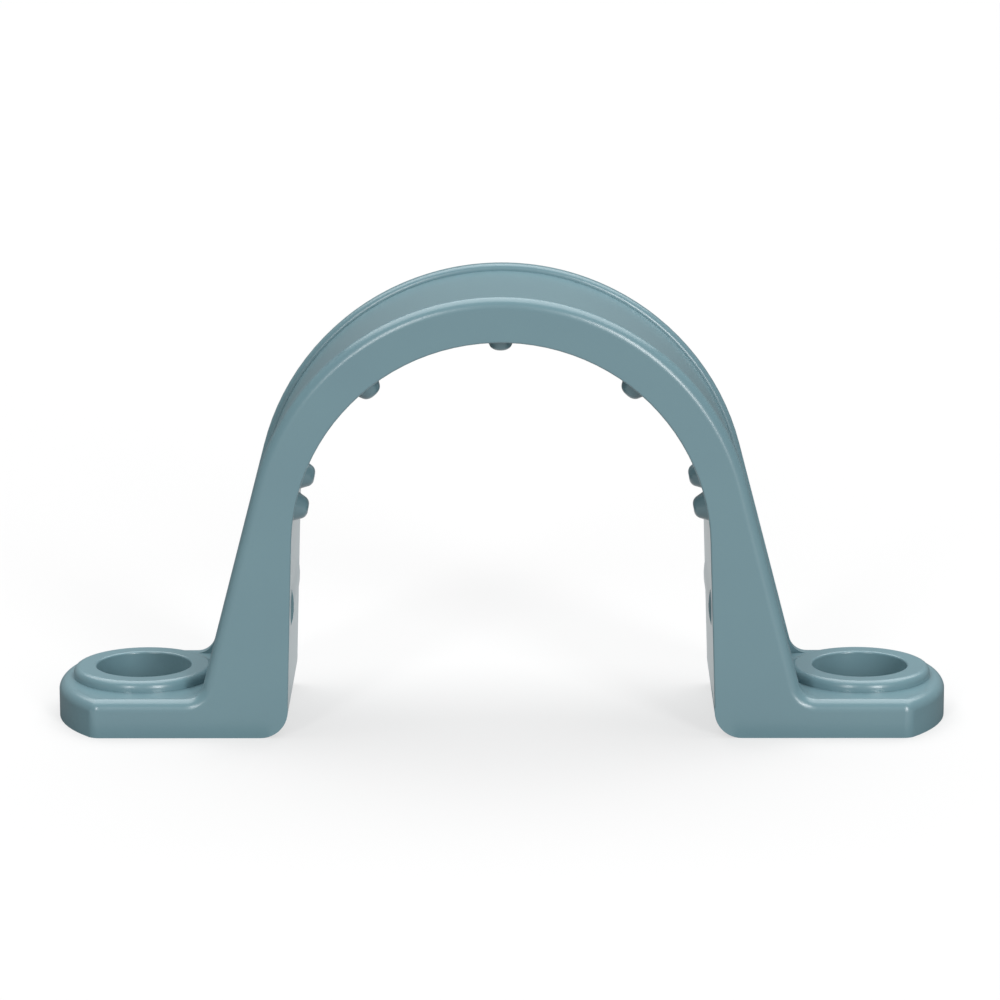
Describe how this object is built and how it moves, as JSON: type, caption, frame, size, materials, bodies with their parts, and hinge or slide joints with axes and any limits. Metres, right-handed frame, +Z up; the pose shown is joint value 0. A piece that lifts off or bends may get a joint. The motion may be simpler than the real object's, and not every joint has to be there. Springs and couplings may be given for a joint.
{
  "type": "conduit clamp",
  "caption": "Moulded plastic strap that arches over a conduit between screw ears, with rimmed edges, gusseted legs, raised screw bosses and inner nubs that steady the conduit.",
  "frame": {"origin": "midway between the screw holes, on the mounting face", "axes": "+X along the strap from one screw hole to the other, +Y along the conduit, +Z up from the mounting face over the arch"},
  "size_m": [0.0618, 0.0142, 0.0306],
  "materials": {
    "moulded_pvc": "satin moulded grey PVC with a blue-green cast"
  },
  "bodies": {
    "root": {"conduit_clamp": "moulded_pvc"}
  },
  "joints": []
}
